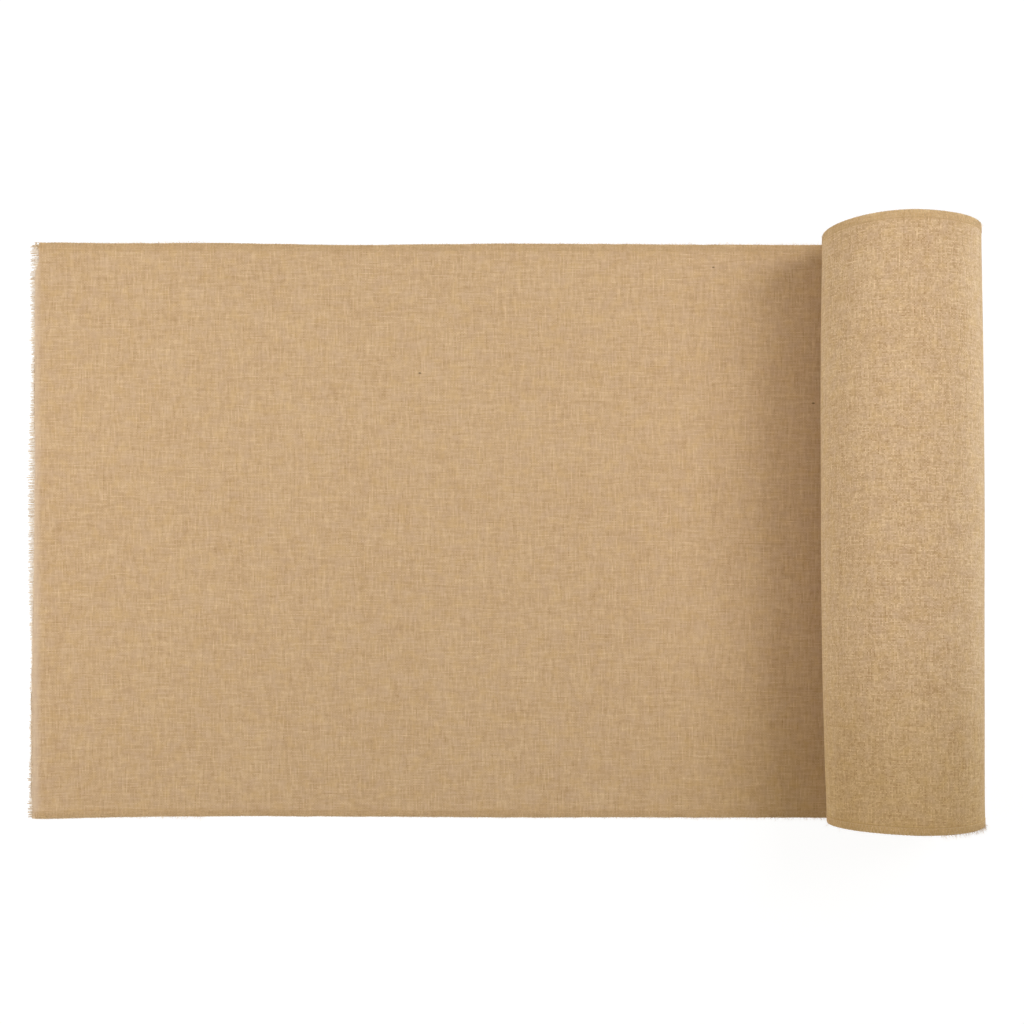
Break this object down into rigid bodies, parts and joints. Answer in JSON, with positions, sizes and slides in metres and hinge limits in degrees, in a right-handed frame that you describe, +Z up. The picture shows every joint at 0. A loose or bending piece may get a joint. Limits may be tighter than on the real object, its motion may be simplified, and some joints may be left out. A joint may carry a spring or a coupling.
{
  "type": "table runner",
  "caption": "Woven burlap table runner with overlocked long edges and a frayed end, laid flat at one end and wound on a cardboard core at the other.",
  "frame": {"origin": "centre of the object's footprint, on the surface it lies on", "axes": "+X along the runner from the free end towards the roll, +Y across its width towards the back edge, +Z up"},
  "size_m": [0.5778, 0.3556, 0.0964],
  "materials": {
    "burlap": "plain-woven natural jute, matt",
    "overlock_thread": "spun sewing thread over a cut edge, matt",
    "loose_yarn": "frayed jute yarn, matt",
    "core_board": "spirally wound grey-brown board"
  },
  "bodies": {
    "laid": {"laid_cloth": "burlap", "laid_overlock_front": "overlock_thread", "laid_overlock_back": "overlock_thread"},
    "free_end": {"end_cloth": "burlap", "end_overlock_front": "overlock_thread", "end_overlock_back": "overlock_thread", "end_fringe": "loose_yarn"},
    "payout": {"payout_cloth": "burlap", "payout_overlock_front": "overlock_thread", "payout_overlock_back": "overlock_thread"},
    "roll": {"wound_cloth": "burlap", "wound_overlock_front": "overlock_thread", "wound_overlock_back": "overlock_thread", "core_tube": "core_board"}
  },
  "joints": [
    {"name": "end_fold", "type": "hinge", "parent": "laid", "child": "free_end", "pos_m": [-0.16565, 0, 0.0018], "axis": [0, 1, 0], "range_deg": [0, 179]},
    {"name": "roll_travel", "type": "slide", "parent": "laid", "child": "payout", "axis": [1, 0, 0], "range_m": [-0.1492, 0.2985], "deforming": ["payout_cloth", "payout_overlock_front", "payout_overlock_back"]},
    {"name": "roll_turn", "type": "hinge", "parent": "payout", "child": "roll", "pos_m": [0.24135, 0, 0.0489], "axis": [0, 1, 0], "range_deg": [-180.1, 360.3]}
  ],
  "couplings": [
    {"joint": "roll_turn", "follows": "roll_travel", "rad_per_m": 21.053}
  ]
}
